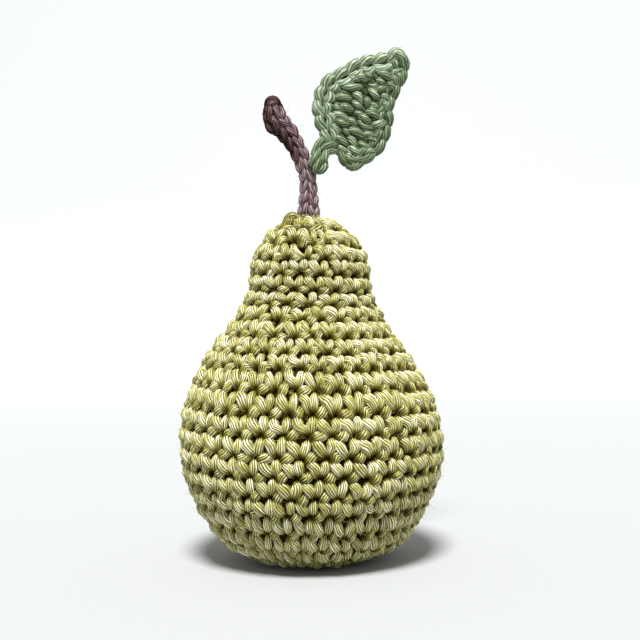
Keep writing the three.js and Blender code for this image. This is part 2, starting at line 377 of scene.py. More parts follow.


# Mercerised cotton: a smooth, slightly glossy yarn whose plies show as pale ridges with dark
# creases between them, helped by painted highlights on the ridges and painted shade in the creases; yarn
# that lies low gets painted shade, and the shade wanders a little from stitch to stitch
def cottonYarn(name, setup):
    material = newMaterial(name)
    uv = addNode(material, "UVMap", {"uv_map": "UVMap"})
    split = addNode(material, "SeparateXYZ", None, {0: uv.outputs[0]})
    tone = addNode(material, "Attribute", {"attribute_name": "yarnTone"})
    light = addNode(material, "Attribute", {"attribute_name": "paintedLight"})

    # Plies: painted shade in the dark creases between round ridges, and a painted highlight on the ridges
    around = addNode(material, "Math", {"operation": "MULTIPLY"}, {
        0: split.outputs[1], 1: setup["plies"] * math.pi})
    wave = addNode(material, "Math", {"operation": "SINE"}, {0: around.outputs[0]})
    ridge = addNode(material, "Math", {"operation": "ABSOLUTE"}, {0: wave.outputs[0]})

    # Fibres: streaks about twice as wide as real ones, so that they show
    perimeter = math.pi * (setup["yarnWidth"] + setup["yarnDepth"])
    alongFibre = addNode(material, "Math", {"operation": "MULTIPLY"}, {
        0: split.outputs[0], 1: yarnLook["lobe"] / yarnLook["streakLength"]})
    acrossFibre = addNode(material, "Math", {"operation": "MULTIPLY"}, {
        0: split.outputs[1], 1: perimeter / setup["streak"]})
    lobeSeed = addNode(material, "Math", {"operation": "MULTIPLY"}, {
        0: tone.outputs["Fac"], 1: yarnLook["seedSpread"]})
    fibrePlace = addNode(material, "CombineXYZ", None, {
        0: alongFibre.outputs[0], 1: acrossFibre.outputs[0], 2: lobeSeed.outputs[0]})
    fibre = addNode(material, "TexNoise", None, {
        "Vector": fibrePlace.outputs[0], "Scale": 1, "Detail": 2.5, "Roughness": 0.65})

    # The plies' share of the shade, their painted shade and painted highlights, which fades where the
    # yarn is fluffy; the noise lies between about 0.3 and 0.7
    fuzzPlace = addNode(material, "CombineXYZ", None, {
        0: split.outputs[0], 1: split.outputs[1], 2: lobeSeed.outputs[0]})
    fuzz = addNode(material, "TexNoise", None, {
        "Vector": fuzzPlace.outputs[0], "Scale": yarnLook["lobe"] / yarnLook["fuzzPatch"],
        "Detail": 1.5})
    crispness = addNode(material, "MapRange", None, {
        "Value": fuzz.outputs["Fac"], "From Min": 0.3, "From Max": 0.7,
        "To Min": setup["crisp"][0], "To Max": setup["crisp"][1]})
    relief = addNode(material, "Math", {"operation": "SUBTRACT"}, {
        0: ridge.outputs[0], 1: yarnLook["ridgeMiddle"]})
    plyShare = addNode(material, "Math", {"operation": "MULTIPLY"}, {
        0: relief.outputs[0], 1: crispness.outputs[0]})

    # To that come the fibres, the lobe's own tone, and its painted light, lower where painted shade falls
    fibreShare = addNode(material, "Math", {"operation": "MULTIPLY_ADD"}, {
        0: fibre.outputs["Fac"], 1: yarnLook["fibre"], 2: plyShare.outputs[0]})
    toneShare = addNode(material, "Math", {"operation": "MULTIPLY_ADD"}, {
        0: tone.outputs["Fac"], 1: yarnLook["tone"], 2: fibreShare.outputs[0]})
    lit = addNode(material, "MapRange", {"interpolation_type": "SMOOTHSTEP"}, {
        "Value": light.outputs["Fac"]})
    lightShare = addNode(material, "Math", {"operation": "MULTIPLY_ADD"}, {
        0: lit.outputs[0], 1: yarnLook["light"], 2: toneShare.outputs[0]})
    level = addNode(material, "Math", {"operation": "ADD"}, {
        0: lightShare.outputs[0], 1: yarnLook["level"]})
    shades = addNode(material, "ValToRGB", None, {"Fac": level.outputs[0]})
    ramp = shades.color_ramp.elements
    stops = yarnLook["stops"]
    ramp[0].position, ramp[1].position = stops[0], stops[-1]
    for stop in stops[1:-1]:
        ramp.new(stop)
    for element, colour in zip(ramp, setup["colours"]):
        element.color = linear(colour)

    # Painted shade: yarn that dives right under takes a dark colour; sockets 6 and 7 are the colours
    shown = addNode(material, "MapRange", None, {
        "Value": lit.outputs[0], "From Max": yarnLook["paintedDeepShade"]})
    colour = addNode(material, "Mix", {"data_type": "RGBA"}, {
        "Factor": shown.outputs[0], 6: linear(setup["paintedDeepShade"]), 7: shades.outputs[0]})
    bump = addNode(material, "Bump", None, {
        "Strength": 0.5, "Distance": yarnLook["fibreHeight"] * mm, "Height": fibre.outputs["Fac"]})

    # Only the tops of the ridges gleam, none where painted shade falls, and less where they turn away
    glossy = addNode(material, "Math", {"operation": "MULTIPLY"}, {
        0: lit.outputs[0], 1: ridge.outputs[0]})
    edgeOn = addNode(material, "LayerWeight", None, {"Blend": 0.5})
    faced = addNode(material, "Math", {"operation": "SUBTRACT"}, {0: 1, 1: edgeOn.outputs["Facing"]})
    shine = addNode(material, "Math", {"operation": "MULTIPLY"}, {
        0: glossy.outputs[0], 1: faced.outputs[0]})
    shader = addNode(material, "BsdfPrincipled", None, {
        "Base Color": colour.outputs[2], "Roughness": setup["roughness"], "IOR": 1.5,
        "Specular IOR Level": shine.outputs[0], "Normal": bump.outputs[0]})
    return finishMaterial(material, shader)


# Yarn in shade: the same cotton, matt, in a dark colour that is painted shade, seen only through the gaps
# between lobes
def shadedYarn(name, colour):
    material = newMaterial(name)
    return finishMaterial(material, addNode(material, "BsdfPrincipled", None, {
        "Base Color": linear(colour), "Roughness": 0.9}))


# Cover: single crochet worked as one spiral from the middle of the base
cover = {
    # stitches in each round, and the radius and height where it ends
    "rounds": [
        (6, 4.5, 0), (12, 9, 0), (18, 13.7, 0.3), (24, 18.5, 1.9), (30, 24.2, 5.4), (36, 27.4, 9.9),
        (36, 30.2, 14.9), (36, 32.3, 19.5), (36, 33.4, 24.7), (36, 33.7, 29.5), (36, 33.5, 34.7),
        (36, 32.3, 39.8), (36, 30.2, 45.4), (36, 27.5, 50.2), (30, 25.1, 54.2), (30, 22.1, 58),
        (24, 19.5, 61.8), (18, 17.4, 65.4), (18, 16.4, 68.8), (18, 15.8, 72.7), (18, 15.2, 76.7),
        (18, 13, 81), (12, 9.3, 85), (6, 3.6, 88.2),
    ],
    "drift": 0.27,  # how far a stitch leans to the right of the one below it, in stitches
    "start": 12 - 0.0056,  # where one hole stands, in turns from the front of the base
    "width": 5.6,  # a stitch of the pattern below
    "height": 5.3,
    "sink": 0.1,  # how far in it sits
    "floor": 0.02,  # lowest place of the yarn, which is pressed flat where the pear stands
    "plies": 12,
    "yarnWidth": 1.3,  # half the width and half the depth of a leg
    "yarnDepth": 1.1,
    "crease": 0.2,  # usual depth of a crease between plies, as a share of that
    "streak": 0.24,  # width of a streak of fibres
    # one stitch from its hole: right, up, out and thickness along each lobe of yarn
    "leftLeg": [(-2.75, 4.85, -2.9, 0.72), (-2.35, 3.85, -1.4, 1.04), (-1.65, 2.55, -1.0, 1.1),
                (-0.8, 1.1, -1.5, 0.78), (-0.1, -0.2, -3.0, 0.34)],
    "rightLeg": [(1.2, 4.85, -2.9, 0.68), (1.22, 3.8, -1.4, 0.96), (0.98, 2.5, -1.1, 0.98),
                 (0.5, 1.1, -1.6, 0.72), (0.1, -0.2, -3.0, 0.34)],
    "bar": [(0.75, -1.35, -2.8, 0.58), (1.35, -0.5, -1.7, 0.95), (2.15, 0.3, -1.25, 1.1),
            (2.95, 1.1, -1.7, 0.96), (3.5, 1.95, -2.7, 0.66)],
    "backBar": [(-3.4, 4.4, -3.3, 0.9), (-0.6, 4.4, -2.9, 1.0), (2.4, 4.6, -3.3, 0.9)],
    # two stitches drawn into one
    "wideLeg": [(-4.3, 4.5, -2.7, 0.8), (-3.75, 3.6, -1.15, 1.08), (-2.6, 2.5, -0.8, 1.2),
                (-1.1, 1.1, -1.35, 0.92), (-0.05, -0.1, -3.0, 0.4)],
    "twist": {"leftLeg": -60, "rightLeg": -60, "bar": -50, "backBar": -60, "wideLeg": -70},
    # painted light of each kind of lobe: bars, and most of all back bars, are painted darker as shade
    "light": {"leftLeg": 1, "rightLeg": 0.95, "bar": 0.82, "backBar": 0.25, "wideLeg": 1},
    # painted shade: the yarn is painted darker where it dives under and near the stitch's hole
    "dive": (-2.6, -0.8),  # yarn is darkest and lightest at these places outwards
    "hole": (-0.1, 2.2),  # and at these distances from the stitch's hole
    # rounds where pairs of stitches are drawn into one, and where the first of them stands
    "decreases": {13: 0.0, 15: 0.0, 16: -0.086, 21: 0.034, 22: 0.1},
    "pairs": 6,
    # how far the pear's middle strays to one side at each height
    "sway": [(0, 0), (20, -0.1), (35, -0.5), (45, -0.9), (55, -1.2), (63, -0.5), (70, -0.2), (80, 0),
             (86, -0.5), (90, -0.6)],
    # yarn drawn up round the stem: x, y, z and thickness
    "crown": [
        [(-6.2, -4.2, 85.2, 0.7), (-5.4, -4.4, 86.9, 0.9), (-4.3, -4.4, 87.7, 0.95),
         (-3.0, -4.6, 87.1, 0.9), (-2.1, -5.2, 85.6, 0.7)],
        [(-1.6, -4.0, 86.4, 0.7), (0.4, -4.8, 86.6, 0.95), (2.2, -5.8, 85.6, 1.0),
         (3.9, -6.7, 83.6, 0.75)],
        [(-3.6, -5.4, 86.0, 0.65), (-2.6, -6.4, 85.1, 0.9), (-1.6, -7.4, 83.5, 0.65)],
        [(-5.4, -5.6, 84.6, 0.7), (-4.9, -5.3, 86.0, 0.95), (-4.2, -4.6, 87.1, 0.8)],
    ],
    "crownTwist": -60,
    # painted shade on the crown's lobes
    "crownLight": 0.6,
    "variants": 12,  # of each lobe
    # how uneven the work is: a stitch's size, lean in degrees and place, right, up and out
    "uneven": {"size": 0.03, "lean": 3, "place": (0.15, 0.17, 0.12)},
    # and in a lobe its yarn's place, thickness from lobe to lobe and within one, and twist
    "lobeUneven": {"place": 0.2, "swell": 0.05, "thickness": 0.03, "twist": 12},
    "seed": 11,
    # the inside: how deep it lies under the outside, its wall and its steps all round
    "innerDepth": 2.5,
    "innerThickness": 0.6,
    "innerSteps": 72,
    # its colour, darker than the yarn outside: painted shade
    "innerShadeColour": "#7a712c",
    # creases, shade, mid tone, light and ridges, which hold the yarn's own streaks and tones and also
    # painted shade in the creases and where the yarn lies low, and painted highlights on the ridges; then
    # the painted shade of yarn that dives right under
    "colours": ["#271e00", "#4b4304", "#736d16", "#b0ac66", "#f0efda"],
    "paintedDeepShade": "#2a1f00",
    "crisp": (0.12, 0.52),  # how much the plies stand out, where fluffy and where smooth
    "roughness": 0.36,
}


# The cover's outside, in rounds from the middle of the base: a smooth line through the rounds' ends
def profileAt(rounds, out):
    knots = [(0, 0)] + [(radius, height) for _, radius, height in cover["rounds"]]
    point, along = smoothLine(knots, rounds / (len(knots) - 1))
    outward = unit(np.stack([along[:, 1], -along[:, 0]], 1))
    return point + outward * out


def swayAt(heights):
    return np.interp(heights, *zip(*cover["sway"]))


# Places on the spiral: whole turns to the left from the front of the base, and rounds up
def spiralPoints(turns, rounds, out):
    radius, height = profileAt(rounds, out[:, None]).T
    angle = -math.tau * (turns + 0.25)
    return np.stack([radius * np.cos(angle) + swayAt(height), radius * np.sin(angle), height], 1)


# Where each stitch's hole stands on the spiral, worked up and down from the one given
def stitchTurns(setup):
    counts = [count for count, _, _ in setup["rounds"]]

    def width(turn):
        return 1 / (counts[min(int(turn), len(counts) - 1)] + setup["drift"])

    turns = [setup["start"]]
    while turns[-1] + width(turns[-1]) < len(counts):
        turns.append(turns[-1] + width(turns[-1]))
    while turns[0] - width(turns[0]) >= 0:
        turns.insert(0, turns[0] - width(turns[0]))
    return turns


# One version of a lobe, uneven in its own way
def lobeVariant(setup, name, draw, section):
    uneven = setup["lobeUneven"]
    swell = 1 + draw.gauss(0, uneven["swell"])
    points = []
    for x, y, z, thickness in setup[name]:
        right, up, out = [draw.gauss(0, uneven["place"]) for _ in range(3)]
        thick = thickness * swell * (1 + draw.gauss(0, uneven["thickness"]))
        points.append((x + right, y + up, z + out / 2, thick))
    twist = setup["twist"][name] + draw.gauss(0, uneven["twist"])
    lobe = {"points": points, "twist": twist, "start": draw.uniform(0, plyTurn)}
    return yarnMesh(name, [lobe], section, setup["plies"])


def makeCover(setup):
    draw = random.Random(setup["seed"])
    uneven = setup["uneven"]
    section = yarnSection("cover_yarn_section", setup)
    variants = {}
    for name in setup["twist"]:
        variants[name] = [lobeVariant(setup, name, draw, section) for _ in range(setup["variants"])]
    patterns = {name: [meshPoints(mesh) for mesh in meshes] for name, meshes in variants.items()}
    turns = stitchTurns(setup)
    lobes = []
    for turn in turns:
        here = int(turn)
        stitchWidth = 1 / (setup["rounds"][here][0] + setup["drift"])
        swell = [1 + draw.gauss(0, uneven["size"]), 1 + draw.gauss(0, uneven["size"]), 1]
        lean = math.radians(draw.gauss(0, uneven["lean"]))
        right, above, outside = [draw.gauss(0, spread) for spread in uneven["place"]]
        names = ["leftLeg", "rightLeg", "bar", "backBar"]
        first = setup["decreases"].get(here)
        if first is not None:
            pairs = setup["pairs"]
            nearest = round((turn % 1 - first) * pairs) / pairs + first
            if abs(turn % 1 - nearest) < stitchWidth / 2:
                names[0] = "wideLeg"
        for name in names:
            kind = draw.randrange(setup["variants"])
            x, y, z = (patterns[name][kind] * swell).T
            across = x * math.cos(lean) - y * math.sin(lean) + right
            up = y * math.cos(lean) + x * math.sin(lean) + above
            turnHere = turn - across / setup["width"] * stitchWidth
            points = spiralPoints(turnHere, turnHere + up / setup["height"],
                                  z + outside - setup["sink"])
            points[:, 2] = np.maximum(points[:, 2], setup["floor"])
            # painted shade where the yarn dives under and near the hole, times its lobe's painted light
            light = np.minimum(np.interp(z, setup["dive"], (0, 1)),
                               np.interp(np.hypot(x, y), setup["hole"], (0, 1)))
            tone = draw.uniform(-1, 1)
            lobes.append((variants[name][kind], points, tone, light * setup["light"][name]))
    for points in setup["crown"]:
        lobe = {"points": points, "twist": setup["crownTwist"]}
        mesh = yarnMesh("crown_lobe", [lobe], section, setup["plies"])
        lobes.append((mesh, meshPoints(mesh), draw.uniform(-1, 1), setup["crownLight"]))
    print("cover:", len(turns), "stitches")
    return joinLobes("cover_stitches", lobes)


# The cover's inside, a thin wall of yarn behind the lobes, in a darker colour that is painted shade
def makeInner(setup):
    rounds = np.linspace(0, len(setup["rounds"]), 4 * (len(setup["rounds"]) - 1))  # about four a round
    outside = profileAt(rounds, -setup["innerDepth"])
    inside = profileAt(rounds[::-1], -setup["innerDepth"] - setup["innerThickness"])
    line = [(max(x, 0), z) for x, z in [*outside, *inside]]
    mesh = turnedMesh("cover_inside", line, setup["innerSteps"])
    points = meshPoints(mesh)
    points[:, 0] += swayAt(points[:, 2])
    setPoints(mesh, points)
    return mesh


coverPiece = finishPiece("cover_stitches", makeCover(cover), cottonYarn("mercerised_cotton_yarn", cover))
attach(coverPiece, "root")
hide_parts("cover")

innerYarn = shadedYarn("yarn_in_shade", cover["innerShadeColour"])
innerPiece = finishPiece("cover_inside", makeInner(cover), innerYarn)
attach(innerPiece, "root")

# Filling: it keeps its CAD shape
filling = {
    "colours": ("#8f8f8d", "#d9d9d6"),
    "cloud": 1.11,  # size of a wad of fibres, and how far it stands up
    "cloudHeight": 0.4,
}


# Polyester filling: a matt grey-white wad whose fibres cloud it
def fillingMaterial(setup):
    material = newMaterial("polyester_filling")
    place = addNode(material, "TexCoord")
    clouds = addNode(material, "TexNoise", None, {
        "Vector": place.outputs["Object"], "Scale": 1 / (setup["cloud"] * mm), "Detail": 4})
    shade = addNode(material, "ValToRGB", None, {"Fac": clouds.outputs["Fac"]})
    for element, colour in zip(shade.color_ramp.elements, setup["colours"]):
        element.color = linear(colour)
    bump = addNode(material, "Bump", None, {
        "Strength": 0.6, "Distance": setup["cloudHeight"] * mm, "Height": clouds.outputs["Fac"]})
    return finishMaterial(material, addNode(material, "BsdfPrincipled", None, {
        "Base Color": shade.outputs["Color"], "Roughness": 0.95, "Normal": bump.outputs[0]}))


frame["nodes"]["stuffing"].data.materials.clear()
frame["nodes"]["stuffing"].data.materials.append(fillingMaterial(filling))

# Fluff: stray fibres that stand off the yarn
fluff = {
    "radius": 0.035,  # about twice a real fibre, so that it shows
    "length": (0.5, 3.0),
    "shortness": 0.7,  # the more this is, the more of them are short
    "lift": (0.05, 0.75),  # how far they rise, as a share of their length
    "arch": 2.2,  # radians of a sine that the rise follows, so that they droop a little at the end
    "curl": 0.35,
    "taper": 0.6,  # how much thinner they end
    "minLight": 0.55,  # they start only where the yarn lies in the light
    "floor": 0.05,  # and none goes into the floor
    "cover": {"count": 6800, "seed": 21, "colour": "#a8a262"},
    "stem": {"count": 420, "seed": 22, "colour": "#785f62"},
    "leaf": {"count": 640, "seed": 23, "colour": "#839477"},
}


def makeFluff(name, yarnPiece, setup):
    draw = random.Random(setup["seed"])
    data = bpy.data.curves.new(name, "CURVE")
    data.dimensions = "3D"
    data.bevel_depth = fluff["radius"]
    data.bevel_resolution = 0
    data.use_fill_caps = True
    data.resolution_u = 1
    verts = yarnPiece.data.vertices
    light = yarnPiece.data.attributes["paintedLight"].data
    grown = 0
    while grown < setup["count"]:
        root = verts[draw.randrange(len(verts))]
        if light[root.index].value < fluff["minLight"]:
            continue
        grown += 1
        start = root.co / mm
        outward = root.normal.copy()
        side = Vector([draw.gauss(0, 1) for _ in range(3)]).normalized()
        side = (side - outward * side.dot(outward)).normalized()
        curl = Vector([draw.gauss(0, fluff["curl"]) for _ in range(3)])
        length = draw.uniform(*fluff["length"]) * draw.random() ** fluff["shortness"]
        lift = draw.uniform(*fluff["lift"])
        line = data.splines.new("POLY")
        line.points.add(2)
        for point, share in zip(line.points, (0, 0.5, 1)):
            rise = lift * math.sin(share * fluff["arch"])
            place = start + (side * share + outward * rise + curl * share * share / 2) * length
            place.z = max(place.z, fluff["floor"])
            point.co = (*place, 1)
            point.radius = 1 - fluff["taper"] * share
    # Loose cotton fibre: pale and matt, so that the outline looks soft
    material = newMaterial("loose_" + name)
    finishMaterial(material, addNode(material, "BsdfPrincipled", None, {
        "Base Color": linear(setup["colour"]), "Roughness": 0.6}))
    finished = finishPiece(name, curveToMesh(data), material)
    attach(finished, "root")
    return finished


makeFluff("cover_fluff", coverPiece, fluff["cover"])
print("cover fluffed")

# Stem: a crocheted cord with four columns of stitches, ending in a club
stem = {
    # x, z and radius along its middle
    "line": [(0, 78, 2.9), (0, 88, 2.9), (0, 97, 2.9), (-0.9, 101, 2.3), (-2.5, 105, 2.3),
             (-4.8, 109, 2.4), (-7.6, 112.4, 3), (-8.7, 115.2, 3.1)],
    "columns": 4,
    "pitch": 3.0,
    "offset": 0.4,  # how far on every second column stands
    "width": 4.5,  # of a column in the pattern below
    "yarnWidth": 1.02,
    "yarnDepth": 0.88,
    "plies": 8,
    "crease": 0.22,
    "streak": 0.29,
    "twist": -80,
    # one stitch from the point of its V: right, along, out and thickness
    "leftLeg": [(-1.3, 4.1, -1.7, 0.7), (-1.45, 3.2, -0.95, 0.95), (-1.25, 1.9, -0.75, 1.05),
                (-0.8, 0.7, -0.95, 0.9), (-0.4, -0.2, -1.8, 0.6)],
    "rightLeg": [(1.6, 4.2, -1.7, 0.7), (1.5, 3.3, -0.95, 0.98), (0.9, 1.9, -0.65, 1.08),
                 (0.1, 0.7, -0.95, 0.9), (-0.3, -0.2, -1.8, 0.6)],
    # painted shade: the yarn is painted darker where it dives in
    "dive": (-1.9, -0.7),  # yarn is darkest and lightest at these places outwards
    # the upper part is made darker between these heights, most of all in front
    "upperDarkening": {"heights": (100, 105), "share": 0.4, "front": 0.3},
    # club, alike in front and behind: how far out each lobe lies, and its (x, z) points
    "club": [
        (0.8, [(-10.3, 116.0), (-9.9, 117.5), (-8.7, 118.3), (-7.5, 117.5), (-6.8, 115.9)]),
        (1.5, [(-9.9, 115.3), (-9.3, 116.7), (-8.2, 116.9), (-7.4, 115.9)]),
        (1.0, [(-10.0, 116.6), (-10.4, 115.3), (-9.9, 113.9)]),
        (1.1, [(-9.7, 114.5), (-10.5, 113.1), (-10.1, 111.6)]),
        (1.2, [(-10.4, 112.3), (-9.8, 110.7), (-8.3, 109.5)]),
        (1.2, [(-9.0, 114.4), (-9.5, 113.0), (-9.0, 111.4)]),
        (2.0, [(-8.0, 116.5), (-7.7, 115.0), (-7.9, 113.3)]),
        (1.2, [(-6.8, 116.6), (-6.5, 115.0), (-6.3, 113.2)]),
        (2.1, [(-8.8, 114.0), (-8.4, 112.6), (-8.2, 111.1)]),
        (1.7, [(-7.5, 113.9), (-7.1, 112.5), (-5.9, 111.1)]),
        (1.8, [(-8.8, 110.1), (-7.3, 111.0), (-5.4, 110.7)]),
        (1.3, [(-8.3, 111.3), (-7.5, 110.0), (-6.4, 108.7)]),
        (1.0, [(-6.4, 113.6), (-5.5, 112.0), (-4.4, 110.4)]),
    ],
    # how far the middle and the ends of its lobes dive in, and how thick they are
    "clubMiddle": (0, 0.84),
    "clubEnd": (0.9, 0.65),
    # how far out the club's yarn is painted darkest and lightest, and how light it is painted there:
    # painted shade where it lies in
    "clubDive": (0.524, 2.4),
    "clubLight": (0.08, 0.75),
    "uneven": (0.08, 0.1, 0.05),  # how far the yarn strays, right, along and out
    "seed": 5,
    "core": {"yarnWidth": 1, "yarnDepth": 1, "plies": 8, "crease": 0},  # smooth and round
    "coreDepth": 1.1,
    # the core's dark colour is painted shade
    "coreShadeColour": "#2a1c1e",
    # creases, shade, mid tone, light and ridges as on the cover, with painted shade and painted
    # highlights; then the painted shade of yarn that dives right under
    "colours": ["#1c0a08", "#3a201f", "#523b3d", "#766063", "#ab969a"],
    "paintedDeepShade": "#170500",
    "crisp": (0.2, 0.5),
    "roughness": 0.55,
}


def stemStitches(setup, draw, section):
    right, along, out = setup["uneven"]
    radii = [(radius,) for _, _, radius in setup["line"]]
    at, total = measuredLine([(x, 0, z) for x, z, _ in setup["line"]])
    lobes = []
    for row in range(int(total / setup["pitch"])):
        for column in range(setup["columns"]):
            legs = []
            for name in ("leftLeg", "rightLeg"):
                points = [(x + draw.gauss(0, right), y + draw.gauss(0, along), z + draw.gauss(0, out), t)
                          for x, y, z, t in setup[name]]
                start = draw.uniform(0, plyTurn)
                legs.append({"points": points, "twist": setup["twist"], "start": start})
            mesh = yarnMesh("stem_stitch", legs, section, setup["plies"])
            x, y, z = meshPoints(mesh).T
            length = y + row * setup["pitch"] + column % 2 * setup["offset"]
            turn = math.tau / setup["columns"] * (column + 0.5 - x / setup["width"])
            middle, way = at(length)
            aside = np.stack([np.cos(turn) * way[:, 2], -np.sin(turn), -np.cos(turn) * way[:, 0]], 1)
            radius, _ = smoothLine(radii, length / total)
            upperDarkening = setup["upperDarkening"]
            darkened = upperDarkening["share"] - upperDarkening["front"] * np.cos(turn)
            darkened *= np.interp(middle[:, 2], upperDarkening["heights"], (0, 1))
            # painted light: painted shade where the yarn dives in, and the upper part darker still
            light = np.interp(z, setup["dive"], (0, 1)) * (1 - darkened)
            points = middle + (radius + z[:, None]) * aside
            lobes.append((mesh, points, draw.uniform(-1, 1), light))
    return lobes


def stemClub(setup, draw, section):
    lobes = []
    for side in (1, -1):
        for out, line in setup["club"]:
            points = []
            for i, (x, z) in enumerate(line):
                isEnd = i in (0, len(line) - 1)
                dive, thickness = setup["clubEnd"] if isEnd else setup["clubMiddle"]
                points.append((x, z, (out - dive) * side, thickness))
            lobe = {"points": points, "twist": setup["twist"], "start": draw.uniform(0, plyTurn)}
            mesh = yarnMesh("club_lobe", [lobe], section, setup["plies"])
            x, z, away = meshPoints(mesh).T
            # painted shade, darker the further in the club's yarn lies
            light = np.interp(away * side, setup["clubDive"], setup["clubLight"])
            lobes.append((mesh, np.stack([x, -away, z], 1), draw.uniform(-1, 1), light))
    return lobes


def makeStem(setup):
    draw = random.Random(setup["seed"])
    section = yarnSection("stem_yarn_section", setup)
    lobes = stemStitches(setup, draw, section) + stemClub(setup, draw, section)
    return joinLobes("stem_stitches", lobes)


# The inside of the stem, so that no light comes through it; its dark colour is painted shade
def makeStemCore(setup):
    section = yarnSection("stem_core_section", setup["core"])
    points = [(x, 0, z, radius - setup["coreDepth"]) for x, z, radius in setup["line"]]
    return yarnMesh("stem_core", [{"points": points, "twist": 0}], section, setup["core"]["plies"])


stemShade = shadedYarn("mauve_yarn_in_shade", stem["coreShadeColour"])
stemCore = finishPiece("stem_core", makeStemCore(stem), stemShade)
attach(stemCore, "root")

stemPiece = finishPiece("stem_stitches", makeStem(stem), cottonYarn("mauve_cotton_yarn", stem))
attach(stemPiece, "root")
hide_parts("stem")
print("stem worked")

